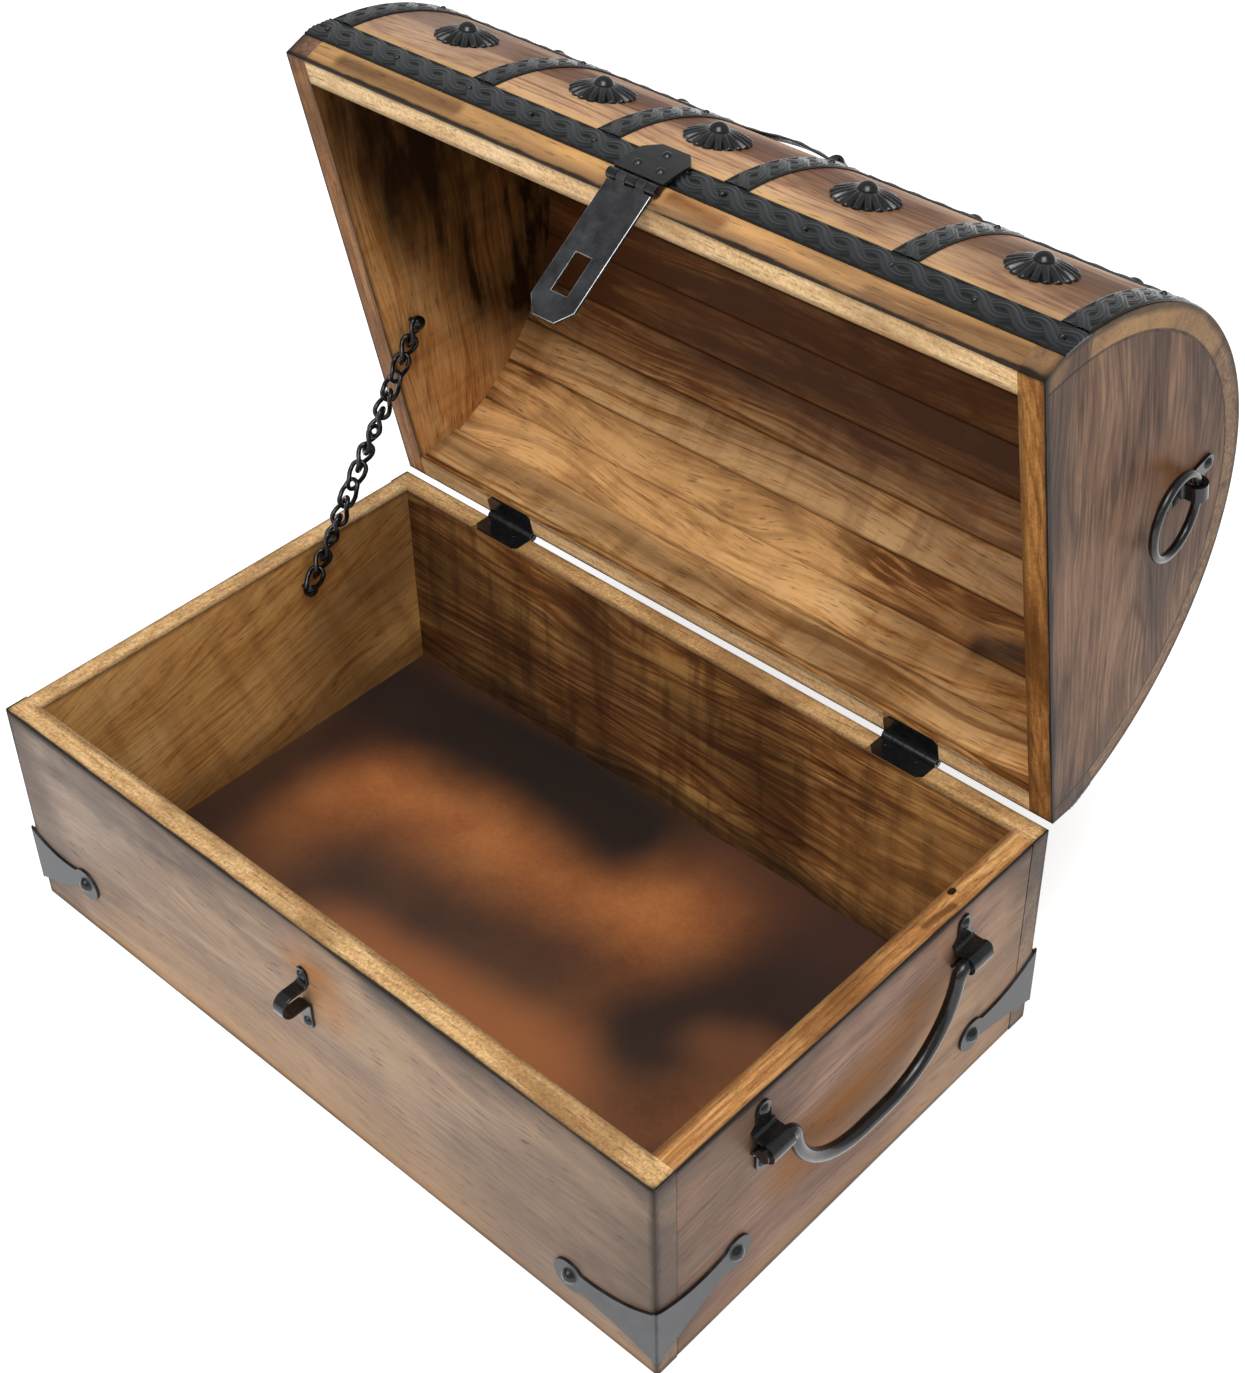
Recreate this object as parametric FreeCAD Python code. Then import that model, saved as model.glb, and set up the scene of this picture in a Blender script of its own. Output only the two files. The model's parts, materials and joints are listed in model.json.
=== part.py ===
import FreeCAD, Part
import math
import os

# Treasure chest with a barrel lid, standing open. Millimetres, Z up, length along X, front towards -Y.

# Box
length = 400.0
depth = 251.0
base_height = 118.3
board = 12.0
floor_thickness = 7.5
worn_edge = 1.2

# Lid hinge line behind the back board, and the angle at which the stay chain stops the lid
hinge_y = 127.0
hinge_z = 118.7
open_angle = 79.0
rim_gap = 0.8

# Barrel lid: heights are measured from its rim, angles from the back, over the top, to the front
barrel_radius = 128.0
barrel_rise = 5.5
bevel_height = 11.0
seam_angle = 10.6
stave_count = 14
stave_inner_radius = 117.5
stave_seam_bevel = 0.6

# Embossed iron bands
band_thickness = 1.6
band_low = 12.0
band_high = 28.0
band_width = 12.5
band_places = (-193.0, -104.0, -32.0, 36.0, 118.0, 193.0)

# Fluted studs
stud_places = (-146.0, -64.0, 0.0, 76.0, 158.0)
upper_stud_places = (-161.0, -83.0, 79.5, 157.5)
stud_angle = 156.0
upper_stud_angle = 119.5
stud_radius = 14.5
stud_flutes = 18
stud_height = 4.2
nail_radius = 4.5
nail_height = 3.2

# Butt hinges
hinge_places = (-125.0, 125.0)
hinge_length = 30.0
leaf_thickness = 1.15
leaf_inner_edge = 114.0
leaf_outer_edge = 124.3
knuckle_radius = 2.5
hinge_pin_radius = 1.2
knuckle_gap = 0.15
knuckle_clearance = 0.3
pin_play = 0.05

# Hasp and staple
hasp_x = 2.0
hasp_y = -129.6
hasp_height = 6.4
hasp_length = 26.0
hasp_barrel_radius = 2.4
hasp_pin_radius = 1.1
hasp_plate_top = 32.0
strap_width = 23.5
strap_reach = 65.0
strap_slot_centre = 44.2
strap_slot_length = 18.0
strap_slot_width = 8.6
strap_lean = 25.0
staple_z = 78.6
staple_up = 15.0
staple_down = 22.0

# Saddle brackets, bails and rings
iron = 1.5
bracket_half = 20.0
side_handle_z = 94.0
side_bracket_y = 64.5
side_pin_height = 7.5
side_rod_radius = 3.2
top_handle_x = -3.0
top_bracket_angle = 113.5
top_pin_height = 6.2
top_rod_radius = 2.6
top_lean = 15.0
ring_radius = 18.0
ring_wire = 2.0
ring_height = 94.0
ring_pin_height = 6.0
ring_lean = 4.0

# Corner straps
strap_low = 11.0
strap_high = 44.0
lobe_radius = 8.5
corner_lobes = {
    "front_right": ((47.3, 24.7), (48.0, 34.0)),
    "front_left": ((40.5, 32.0), (47.5, 28.0)),
    "back_right": ((47.5, 28.0), (47.3, 27.0)),
    "back_left": ((47.5, 28.0), (47.5, 28.0)),
}

# Stay chain between the left board and the left end panel of the lid
chain_x = -183.0
chain_base_y = 40.9
chain_base_z = 98.4
chain_lid_y = 33.2
chain_lid_height = 17.0
chain_links = 15
link_wire = 1.2
link_turn = 3.6
link_play = 0.2
screw_shank = 1.3

half = length / 2
front = -depth / 2
inner = half - board
inner_front = front + board
rim_z = base_height + rim_gap
barrel_z = rim_z + barrel_rise
V = FreeCAD.Vector
nodes = {}


def wire(*steps):
    """Closed wire through points; a pair of points is the middle and the end of an arc."""
    edges = []
    here = steps[0]
    for step in steps[1:] + (steps[0],):
        if isinstance(step, tuple):
            edges.append(Part.Arc(here, step[0], step[1]).toShape())
            here = step[1]
        elif not here.isEqual(step, 1e-6):
            edges.append(Part.makeLine(here, step))
            here = step
    return Part.Wire(edges)


def prism(outline, travel):
    """Solid swept straight from a closed outline."""
    return Part.Face(outline).extrude(travel)


def block(x0, x1, y0, y1, z0, z1):
    """Board with square edges."""
    return Part.makeBox(x1 - x0, y1 - y0, z1 - z0, V(x0, y0, z0))


def rounded(solid, chosen, radius):
    """Solid with the edges rounded whose two ends satisfy a test."""
    edges = [edge for edge in solid.Edges if all(chosen(vertex.Point) for vertex in edge.Vertexes)]
    return solid.makeFillet(radius, edges)


def turned(solid, centre, axis, angle):
    """Copy turned about a line."""
    copy = solid.copy()
    copy.rotate(centre, axis, angle)
    return copy


def moved(solid, place):
    """Copy moved by a vector."""
    copy = solid.copy()
    copy.translate(place)
    return copy


def mirrored(solid, normal):
    """Copy mirrored in a plane through the middle of the chest."""
    return solid.mirror(V(0, 0, 0), normal)


def opened(solid):
    """Copy of a piece of the closed lid, turned to where the chain holds it."""
    return turned(solid, V(0, hinge_y, hinge_z), V(1, 0, 0), -open_angle)


def on_barrel(radius, angle, x=0.0):
    """Point at a radius and an angle of the barrel."""
    a = math.radians(angle)
    return V(x, radius * math.cos(a), barrel_z + radius * math.sin(a))


def barrel_shell(r0, r1, a0, a1, x0, x1):
    """Piece of a tube round the barrel between two angles."""
    mid = (a0 + a1) / 2
    outline = wire(
        on_barrel(r0, a0, x0),
        (on_barrel(r0, mid, x0), on_barrel(r0, a1, x0)),
        on_barrel(r1, a1, x0),
        (on_barrel(r1, mid, x0), on_barrel(r1, a0, x0)),
    )
    return prism(outline, V(x1 - x0, 0, 0))


def barrel_angle(height, radius):
    """Angle above the back edge at which a tube round the barrel has a height above the rim."""
    return math.degrees(math.asin((height - barrel_rise) / radius))


def standing_on_barrel(solid, angle, x):
    """Piece made upright at the origin, stood on the barrel."""
    tilted = turned(solid, V(0, 0, 0), V(1, 0, 0), angle - 90.0)
    return moved(tilted, on_barrel(barrel_radius + 0.02, angle, x))


def standing_on_end(solid, side, y, z):
    """Piece made upright at the origin, stood on the right (1) or left (-1) end of the chest."""
    tilted = turned(solid, V(0, 0, 0), V(0, 1, 0), 90.0 * side)
    return moved(tilted, V(side * half, y, z))


def dome(radius, height):
    """Domed head with a flat underside at the origin."""
    ball = (radius * radius + height * height) / (2 * height)
    lowest = math.degrees(math.asin((ball - height) / ball))
    return Part.makeSphere(ball, V(0, 0, height - ball), V(0, 0, 1), lowest, 90.0)


def tube_along_x(radius, x0, x1, y, z):
    """Knuckle or pin along the length of the chest."""
    return Part.makeCylinder(radius, x1 - x0, V(x0, y, z), V(1, 0, 0))


def saddle(reach, far, bore, height, wide, narrow):
    """Strip bent over a pin along Y: an arch, and two feet on the ground that reach out to each side of it."""
    outer = bore + iron
    bend = iron
    strip = wire(
        V(reach, -wide / 2, 0),
        V(reach, -wide / 2, iron),
        V(outer + bend, -wide / 2, iron),
        (
            V(outer + bend * (1 - math.sqrt(0.5)), -wide / 2, iron + bend * (1 - math.sqrt(0.5))),
            V(outer, -wide / 2, iron + bend),
        ),
        V(outer, -wide / 2, height),
        (V(0, -wide / 2, height + outer), V(-outer, -wide / 2, height)),
        V(-outer, -wide / 2, iron + bend),
        (
            V(-outer - bend * (1 - math.sqrt(0.5)), -wide / 2, iron + bend * (1 - math.sqrt(0.5))),
            V(-outer - bend, -wide / 2, iron),
        ),
        V(-far, -wide / 2, iron),
        V(-far, -wide / 2, 0),
        V(-outer - bend, -wide / 2, 0),
        (
            V(-outer - bend + (bend + iron) * math.sqrt(0.5), -wide / 2, (bend + iron) * (1 - math.sqrt(0.5))),
            V(-bore, -wide / 2, bend + iron),
        ),
        V(-bore, -wide / 2, height),
        (V(0, -wide / 2, height + bore), V(bore, -wide / 2, height)),
        V(bore, -wide / 2, bend + iron),
        (
            V(outer + bend - (bend + iron) * math.sqrt(0.5), -wide / 2, (bend + iron) * (1 - math.sqrt(0.5))),
            V(outer + bend, -wide / 2, 0),
        ),
    )
    arch = prism(strip, V(0, wide, 0))
    w = wide / 2
    n = narrow / 2
    shoulder = outer + bend
    plan = wire(
        V(-shoulder, -w, -1),
        V(shoulder, -w, -1),
        V(shoulder + 2.5, -n, -1),
        V(reach - n, -n, -1),
        (V(reach, 0, -1), V(reach - n, n, -1)),
        V(shoulder + 2.5, n, -1),
        V(shoulder, w, -1),
        V(-shoulder, w, -1),
        V(-shoulder - 2.5, n, -1),
        V(n - far, n, -1),
        (V(-far, 0, -1), V(n - far, -n, -1)),
        V(-shoulder - 2.5, -n, -1),
    )
    return arch.common(prism(plan, V(0, 0, height + outer + 2)))


def foot_screws(reach, far):
    """Domed screw heads on the two feet of a saddle."""
    head = dome(2.8, 1.5)
    return [moved(head, V(place, 0, iron)) for place in (reach - 4.2, 4.2 - far)]


def bail(rod, pin_out, pin_in, bend, turn, leg, bow):
    """Bail hanging from the origin in the YZ plane.

    Each half is a pin along Y, a bend through the turn, a straight leg, and a bow that turns back
    level; what is left between the two bows is the straight grip.
    """
    t = math.radians(turn)
    bent = V(0, pin_in - bend * math.sin(t), -bend * (1 - math.cos(t)))
    leg_end = bent - V(0, math.cos(t), math.sin(t)) * leg
    grip = leg_end.y - bow * math.sin(t)
    low = leg_end.z - bow * (1 - math.cos(t))
    bend_mid = V(0, pin_in - bend * math.sin(t / 2), -bend * (1 - math.cos(t / 2)))
    bow_mid = V(0, grip + bow * math.sin(t / 2), low + bow * (1 - math.cos(t / 2)))
    route = [V(0, pin_out, 0), V(0, pin_in, 0), bend_mid, bent, leg_end, bow_mid, V(0, grip, low)]
    other = [V(0, -point.y, point.z) for point in route]
    edges = []
    for way in (route, other[::-1]):
        for first, mid, last in ((0, None, 1), (1, 2, 3), (3, None, 4), (4, 5, 6)):
            ends = (first, last) if way is route else (6 - last, 6 - first)
            if way is not route:
                mid = None if mid is None else 6 - mid
            if mid is None:
                edges.append(Part.makeLine(way[ends[0]], way[ends[1]]))
            else:
                edges.append(Part.Arc(way[ends[0]], way[mid], way[ends[1]]).toShape())
    edges.append(Part.makeLine(route[6], other[6]))
    section = Part.Wire(Part.makeCircle(rod, V(0, pin_out, 0), V(0, -1, 0)))
    return Part.Wire(Part.__sortEdges__(edges)).makePipeShell([section], True, False)


# Base: long boards over the ends of the side boards, bottom panel let in between them
long_board = block(-half, half, front, inner_front, 0, base_height)
long_board = rounded(long_board, lambda p: p.y < front + 0.01, worn_edge)
side_board = block(inner, half, inner_front, -inner_front, 0, base_height)
side_board = rounded(side_board, lambda p: p.x > half - 0.01, worn_edge)
nodes["base_front"] = long_board
nodes["base_right"] = side_board
nodes["base_left"] = mirrored(side_board, V(1, 0, 0))
nodes["base_bottom"] = block(-inner, inner, inner_front, -inner_front, 0, floor_thickness)
back_board = mirrored(long_board, V(0, 1, 0))

# Lid rails: straight inside, bevelled at the rim and rounded to the barrel outside
bevel_y = math.sqrt(barrel_radius ** 2 - (bevel_height - barrel_rise) ** 2)
bevel_angle = barrel_angle(bevel_height, barrel_radius)
rail_angle = (bevel_angle + seam_angle) / 2
seam_inner_z = barrel_z - inner_front * math.tan(math.radians(seam_angle))
back_rail = prism(
    wire(
        V(-inner, -inner_front, rim_z),
        V(-inner, -front, rim_z),
        V(-inner, bevel_y, rim_z + bevel_height),
        (on_barrel(barrel_radius, rail_angle, -inner), on_barrel(barrel_radius, seam_angle, -inner)),
        V(-inner, -inner_front, seam_inner_z),
    ),
    V(2 * inner, 0, 0),
)
nodes["lid_front_rail"] = opened(mirrored(back_rail, V(0, 1, 0)))

# Staves: equal wedges of the barrel with flat inner faces and eased seams
stave_angle = (180.0 - 2 * seam_angle) / stave_count
for index in range(stave_count):
    a0 = seam_angle + index * stave_angle
    a1 = a0 + stave_angle
    low = on_barrel(stave_inner_radius, a0, -half)
    high = on_barrel(stave_inner_radius, a1, -half)
    ease = (high - low).normalize() * stave_seam_bevel
    outline = wire(
        on_barrel(barrel_radius, a0, -half),
        (on_barrel(barrel_radius, (a0 + a1) / 2, -half), on_barrel(barrel_radius, a1, -half)),
        on_barrel(stave_inner_radius + stave_seam_bevel, a1, -half),
        high - ease,
        low + ease,
        on_barrel(stave_inner_radius + stave_seam_bevel, a0, -half),
    )
    nodes["lid_stave_%02d" % (index + 1)] = opened(prism(outline, V(length, 0, 0)))

# End panels: over the ends of the rails, then inside the ring of staves
ring = [on_barrel(stave_inner_radius, seam_angle + i * stave_angle, inner) for i in range(stave_count + 1)]
end_panel = prism(
    wire(
        V(inner, front, rim_z),
        V(inner, -front, rim_z),
        V(inner, bevel_y, rim_z + bevel_height),
        (on_barrel(barrel_radius, rail_angle, inner), on_barrel(barrel_radius, seam_angle, inner)),
        *ring,
        on_barrel(barrel_radius, 180.0 - seam_angle, inner),
        (on_barrel(barrel_radius, 180.0 - rail_angle, inner), V(inner, -bevel_y, rim_z + bevel_height)),
    ),
    V(board, 0, 0),
)
nodes["lid_end_right"] = opened(end_panel)
nodes["lid_end_left"] = opened(mirrored(end_panel, V(1, 0, 0)))

# Butt hinges: leaves and half the knuckles let into both rims, five knuckles on one pin
base_screws = []
lid_screws = []
knuckle = hinge_length / 5
for side, centre in (("left", hinge_places[0]), ("right", hinge_places[1])):
    x0 = centre - hinge_length / 2
    x1 = centre + hinge_length / 2
    pocket = (x0 - 0.1, x1 + 0.1, inner_front * -1 - 0.1, -front + 5)
    back_board = back_board.cut(block(*pocket, hinge_z - 0.05 - leaf_thickness, base_height + 1))
    back_rail = back_rail.cut(block(*pocket, rim_z - 1, hinge_z + 0.05 + leaf_thickness))
    hollow = tube_along_x(knuckle_radius + knuckle_clearance, x0 - 0.1, x1 + 0.1, hinge_y, hinge_z)
    back_board = back_board.cut(hollow)
    back_rail = back_rail.cut(hollow)
    plan = wire(
        V(x0, leaf_outer_edge, 0),
        V(x1, leaf_outer_edge, 0),
        V(x1, leaf_inner_edge + 3, 0),
        V(x1 - 3, leaf_inner_edge, 0),
        V(x0 + 3, leaf_inner_edge, 0),
        V(x0, leaf_inner_edge + 3, 0),
    )
    plate = prism(plan, V(0, 0, leaf_thickness))
    for name, low, numbers in (
        ("base", hinge_z - 0.05 - leaf_thickness, (0, 2, 4)),
        ("lid", hinge_z + 0.05, (1, 3)),
    ):
        leaf = moved(plate, V(0, 0, low))
        for number in numbers:
            k0 = x0 + number * knuckle + knuckle_gap
            k1 = x0 + (number + 1) * knuckle - knuckle_gap
            tab = block(k0, k1, leaf_outer_edge - 1, hinge_y, low, low + leaf_thickness)
            leaf = leaf.fuse(tab).fuse(tube_along_x(knuckle_radius, k0, k1, hinge_y, hinge_z))
        leaf = leaf.cut(tube_along_x(hinge_pin_radius + pin_play, x0 - 1, x1 + 1, hinge_y, hinge_z))
        for offset in (-8.5, 8.5):
            place = V(centre + offset, 119.2, low)
            if name == "base":
                head = Part.makeCone(1.2, 2.3, 0.9, place + V(0, 0, leaf_thickness - 0.9))
                sink = Part.makeCone(1.3, 2.4, 0.9, place + V(0, 0, leaf_thickness - 0.9))
                base_screws.append(head)
            else:
                head = Part.makeCone(2.3, 1.2, 0.9, place)
                sink = Part.makeCone(2.4, 1.3, 0.9, place)
                lid_screws.append(head)
            leaf = leaf.cut(sink)
        leaf = leaf.removeSplitter()
        nodes["hinge_%s_%s_leaf" % (side, name)] = leaf if name == "base" else opened(leaf)
    nodes["hinge_%s_pin" % side] = tube_along_x(hinge_pin_radius, x0 - 0.4, x1 + 0.4, hinge_y, hinge_z)
nodes["base_back"] = back_board
nodes["lid_back_rail"] = opened(back_rail)

# Bands: one along each rail, six over the barrel from rail to rail
band_inner = barrel_radius + 0.06
band_outer = band_inner + band_thickness
low_angle = barrel_angle(band_low, band_inner)
high_angle = barrel_angle(band_high, band_inner)
long_band = barrel_shell(band_inner, band_outer, low_angle, high_angle, -half, half)
nodes["back_band"] = opened(long_band)
nodes["front_band"] = opened(mirrored(long_band, V(0, 1, 0)))
for index, centre in enumerate(band_places):
    band = barrel_shell(
        band_inner,
        band_outer,
        high_angle + 0.1,
        180.0 - high_angle - 0.1,
        centre - band_width / 2,
        centre + band_width / 2,
    )
    nodes["transverse_band_%d" % (index + 1)] = opened(band)

# Studs: fluted rosettes under domed nails, none in the middle of the upper rows where the handle stands


def fluted_outline(crest, valley, height):
    """Closed outline of a scalloped disc with pointed flutes."""
    points = []
    for index in range(2 * stud_flutes):
        radius = crest if index % 2 == 0 else valley
        a = math.pi * index / stud_flutes
        points.append(V(radius * math.cos(a), radius * math.sin(a), height))
    return Part.makePolygon(points + [points[0]])


rosette = Part.makeLoft(
    [
        fluted_outline(stud_radius, 0.91 * stud_radius, 0),
        fluted_outline(0.9 * stud_radius, 0.78 * stud_radius, 0.42 * stud_height),
        fluted_outline(0.43 * stud_radius, 0.38 * stud_radius, stud_height),
    ],
    True,
    True,
)
rosette = rosette.cut(Part.makeCone(0.8 * stud_radius, 0.3 * stud_radius, stud_height - 1.2))
nail = moved(dome(nail_radius, nail_height), V(0, 0, stud_height))
rosettes = []
nails = []
for places, angle in ((stud_places, stud_angle), (upper_stud_places, upper_stud_angle)):
    for x in places:
        for row_angle in (angle, 180.0 - angle):
            rosettes.append(opened(standing_on_barrel(rosette, row_angle, x)))
            nails.append(opened(standing_on_barrel(nail, row_angle, x)))
nodes["stud_rosettes"] = Part.makeCompound(rosettes)
nodes["stud_nails"] = Part.makeCompound(nails)

# Hasp: plate over the front band, slotted strap leaning in over the rim, one pin
hasp_z = rim_z + hasp_height
plate_inner = band_outer + 0.1
plate_outer = plate_inner + iron
plate_low = 180.0 - barrel_angle(hasp_height + hasp_barrel_radius + 0.7, plate_inner)
plate_high = 180.0 - barrel_angle(hasp_plate_top, plate_inner)
hx = hasp_length / 2
plate_z = rim_z + hasp_plate_top
plate = barrel_shell(plate_inner, plate_outer, plate_high, plate_low, -hx, hx)
shield = wire(
    V(-hx, front - 20, rim_z),
    V(hx, front - 20, rim_z),
    V(hx, front - 20, plate_z - 6),
    V(hx - 6, front - 20, plate_z + 0.6),
    V(6 - hx, front - 20, plate_z + 0.6),
    V(-hx, front - 20, plate_z - 6),
)
plate = plate.common(prism(shield, V(0, 30, 0)))
strap_top = hasp_z - hasp_barrel_radius - 0.5
strap_low_z = hasp_z - strap_reach
sx = strap_width / 2
strap_plan = wire(
    V(-sx, hasp_y - iron / 2, strap_top),
    V(sx, hasp_y - iron / 2, strap_top),
    V(sx, hasp_y - iron / 2, strap_low_z + 7),
    V(sx - 6, hasp_y - iron / 2, strap_low_z),
    V(6 - sx, hasp_y - iron / 2, strap_low_z),
    V(-sx, hasp_y - iron / 2, strap_low_z + 7),
)
strap = prism(strap_plan, V(0, iron, 0))
slot_z = hasp_z - strap_slot_centre
slot_x = strap_slot_width / 2
slot_run = strap_slot_length / 2
strap = strap.cut(block(-slot_x, slot_x, hasp_y - 5, hasp_y + 5, slot_z - slot_run, slot_z + slot_run))
knuckle = hasp_length / 5
for number in range(5):
    k0 = -hx + number * knuckle + knuckle_gap
    k1 = -hx + (number + 1) * knuckle - knuckle_gap
    eye = tube_along_x(hasp_barrel_radius, k0, k1, hasp_y, hasp_z)
    if number % 2 == 0:
        tab = block(k0, k1, hasp_y - iron / 2, hasp_y + iron / 2, hasp_z, hasp_z + hasp_barrel_radius + 1.6)
        plate = plate.fuse(tab).fuse(eye)
    else:
        tab = block(k0, k1, hasp_y - iron / 2, hasp_y + iron / 2, strap_top - 1, hasp_z)
        strap = strap.fuse(tab).fuse(eye)
pin_hole = tube_along_x(hasp_pin_radius + pin_play, -hx - 1, hx + 1, hasp_y, hasp_z)
plate = plate.cut(pin_hole).removeSplitter()
strap = strap.cut(pin_hole).removeSplitter()
strap = turned(strap, V(0, hasp_y, hasp_z), V(1, 0, 0), strap_lean)
hasp_pin = tube_along_x(hasp_pin_radius, -hx - 0.4, hx + 0.4, hasp_y, hasp_z)
for name, piece in (("hasp_plate", plate), ("hasp_strap", strap), ("hasp_pin", hasp_pin)):
    nodes[name] = opened(moved(piece, V(hasp_x, 0, 0)))
plate_screw = moved(dome(2.2, 1.2), V(0, 0, plate_outer - barrel_radius))
for x, height in ((-6.0, 16.0), (6.0, 16.0), (0.0, 26.5)):
    angle = 180.0 - barrel_angle(height, plate_outer)
    lid_screws.append(standing_on_barrel(plate_screw, angle, hasp_x + x))

staple = saddle(staple_down, staple_up, 4.5, 9.5, 6.6, 6.6)
staple_parts = [staple] + foot_screws(staple_down, staple_up)
for index, piece in enumerate(staple_parts):
    upright = turned(piece, V(0, 0, 0), V(0, 1, 0), 90.0)
    facing = turned(upright, V(0, 0, 0), V(0, 0, 1), -90.0)
    placed = moved(facing, V(hasp_x, front, staple_z))
    if index == 0:
        nodes["hasp_staple"] = placed
    else:
        base_screws.append(placed)

# Side handles: bails hanging in two saddles on each end of the base
side_saddle = saddle(bracket_half, bracket_half, side_rod_radius + 0.1, side_pin_height, 13.0, 8.0)
brackets = []
for side in (-1, 1):
    for y in (-side_bracket_y, side_bracket_y):
        brackets.append(standing_on_end(side_saddle, side, y, side_handle_z))
        for head in foot_screws(bracket_half, bracket_half):
            base_screws.append(standing_on_end(head, side, y, side_handle_z))
nodes["side_handle_brackets"] = Part.makeCompound(brackets)
side_bail = bail(side_rod_radius, side_bracket_y + 8.5, side_bracket_y - 6.6, 5.0, 80.0, 1.5, 46.0)
nodes["handle_right"] = moved(side_bail, V(half + side_pin_height, 0, side_handle_z))
nodes["handle_left"] = moved(side_bail, V(-half - side_pin_height, 0, side_handle_z))

# Top handle: the same kind of bail across the crown, lying over to the left
top_saddle = saddle(18.0, 18.0, top_rod_radius + 0.35, 9.0, 7.0, 7.0)
brackets = []
for angle in (top_bracket_angle, 180.0 - top_bracket_angle):
    brackets.append(opened(standing_on_barrel(top_saddle, angle, top_handle_x)))
    for head in foot_screws(18.0, 18.0):
        lid_screws.append(standing_on_barrel(head, angle, top_handle_x))
nodes["top_handle_brackets"] = Part.makeCompound(brackets)
top_pin = on_barrel(barrel_radius + top_pin_height, top_bracket_angle, top_handle_x)
pin_y = abs(top_pin.y)
top_bail = bail(top_rod_radius, pin_y + 7.0, pin_y - 4.2, 3.6, 90.0, 10.0, 34.0)
top_bail = turned(top_bail, V(0, 0, 0), V(0, 1, 0), 90.0 + top_lean)
nodes["top_handle"] = opened(moved(top_bail, V(top_handle_x, 0, top_pin.z)))

# Ring pulls on the ends of the lid
ring_saddle = saddle(19.0, 19.0, ring_wire + 0.75, ring_pin_height, 8.0, 8.0)
brackets = []
ring_z = rim_z + ring_height
for name, side in (("left", -1), ("right", 1)):
    brackets.append(opened(standing_on_end(ring_saddle, side, 0, ring_z)))
    for head in foot_screws(19.0, 19.0):
        lid_screws.append(standing_on_end(head, side, 0, ring_z))
    pull = Part.makeTorus(ring_radius, ring_wire, V(0, 0, -ring_radius), V(1, 0, 0))
    pull = turned(pull, V(0, 0, 0), V(0, 1, 0), -side * ring_lean)
    nodes["ring_" + name] = opened(moved(pull, V(side * (half + ring_pin_height), 0, ring_z)))
nodes["ring_brackets"] = Part.makeCompound(brackets)

# Corner straps: two arms round each corner, swept up at the corner and ending in a riveted lobe
c40 = lobe_radius * math.cos(math.radians(40.0))
s40 = lobe_radius * math.sin(math.radians(40.0))
corner_x = half + iron
corner_y = front - iron
rivet = dome(4.0, 2.6)


def strap_arm(place, reach, height):
    """Outline of one arm with its lobe; place turns a reach from the corner and a height into a point."""
    return wire(
        place(0, strap_low),
        place(22.0, strap_low + 0.4 * (height - strap_low)),
        place(reach - c40, height - s40),
        (place(reach + lobe_radius, height), place(reach - c40, height + s40)),
        (place(0.5 * reach, height + 0.4 * (strap_high - height)), place(0, strap_high)),
    )


rivets = []
for name, ((front_reach, front_z), (side_reach, side_z)) in corner_lobes.items():
    front_plan = strap_arm(lambda reach, z: V(corner_x - reach, front, z), front_reach, front_z)
    side_plan = strap_arm(lambda reach, z: V(half, corner_y + reach, z), side_reach, side_z)
    corner = prism(front_plan, V(0, -iron, 0)).fuse(prism(side_plan, V(iron, 0, 0))).removeSplitter()
    corner = rounded(corner, lambda p: p.x > corner_x - 0.01 and p.y < corner_y + 0.01, 1.2)
    front_rivet = turned(rivet, V(0, 0, 0), V(1, 0, 0), 90.0)
    side_rivet = turned(rivet, V(0, 0, 0), V(0, 1, 0), 90.0)
    pieces = [
        corner,
        moved(front_rivet, V(corner_x - front_reach, corner_y, front_z)),
        moved(side_rivet, V(corner_x, corner_y + side_reach, side_z)),
    ]
    if name.endswith("left"):
        pieces = [mirrored(piece, V(1, 0, 0)) for piece in pieces]
    if name.startswith("back"):
        pieces = [mirrored(piece, V(0, 1, 0)) for piece in pieces]
    nodes["corner_strap_" + name] = pieces[0]
    rivets += pieces[1:]
nodes["corner_rivets"] = Part.makeCompound(rivets)

# Stay chain: oval links in alternate planes, the end links round the shanks of two screws
chain_start = V(chain_x, chain_base_y, chain_base_z)
lid_hole = opened(Part.Vertex(V(chain_x, chain_lid_y, rim_z + chain_lid_height))).Point
run = lid_hole - chain_start
pitch = (run.Length + 2 * screw_shank + 0.1 - 2 * link_wire - link_play) / chain_links
link_inner = pitch + 2 * link_wire + link_play
link_run = link_inner / 2 + link_wire - link_turn
direction = V(run.x, run.y, run.z).normalize()


def link(centre, flat):
    """Oval of round wire about a centre, in the plane of the wall or across it."""
    across = direction.cross(V(1, 0, 0)) if flat else V(1, 0, 0)
    normal = direction.cross(across)
    far = centre + direction * link_run
    near = centre - direction * link_run
    oval = wire(
        near + across * link_turn,
        far + across * link_turn,
        (far + direction * link_turn, far - across * link_turn),
        near - across * link_turn,
        (near - direction * link_turn, near + across * link_turn),
    )
    section = Part.Wire(Part.makeCircle(link_wire, near + across * link_turn, direction))
    return oval.makePipeShell([section], True, False)


first = link_inner / 2 - screw_shank - 0.05
links = [link(chain_start + direction * (first + pitch * i), i % 2 == 0) for i in range(chain_links)]
lower_count = (chain_links + 1) // 2
nodes["stay_chain_lower"] = Part.makeCompound(links[:lower_count])
nodes["stay_chain_upper"] = Part.makeCompound(links[lower_count:])
chain_screw = Part.makeCylinder(screw_shank, 6.8).fuse(moved(dome(3.6, 2.0), V(0, 0, 6.8)))
chain_screw = turned(chain_screw, V(0, 0, 0), V(0, 1, 0), 90.0)
base_screws.append(moved(chain_screw, V(-inner, chain_base_y, chain_base_z)))
lid_screws.append(moved(chain_screw, V(-inner, chain_lid_y, rim_z + chain_lid_height)))
nodes["base_screws"] = Part.makeCompound(base_screws)
nodes["lid_screws"] = Part.makeCompound([opened(screw) for screw in lid_screws])

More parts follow.
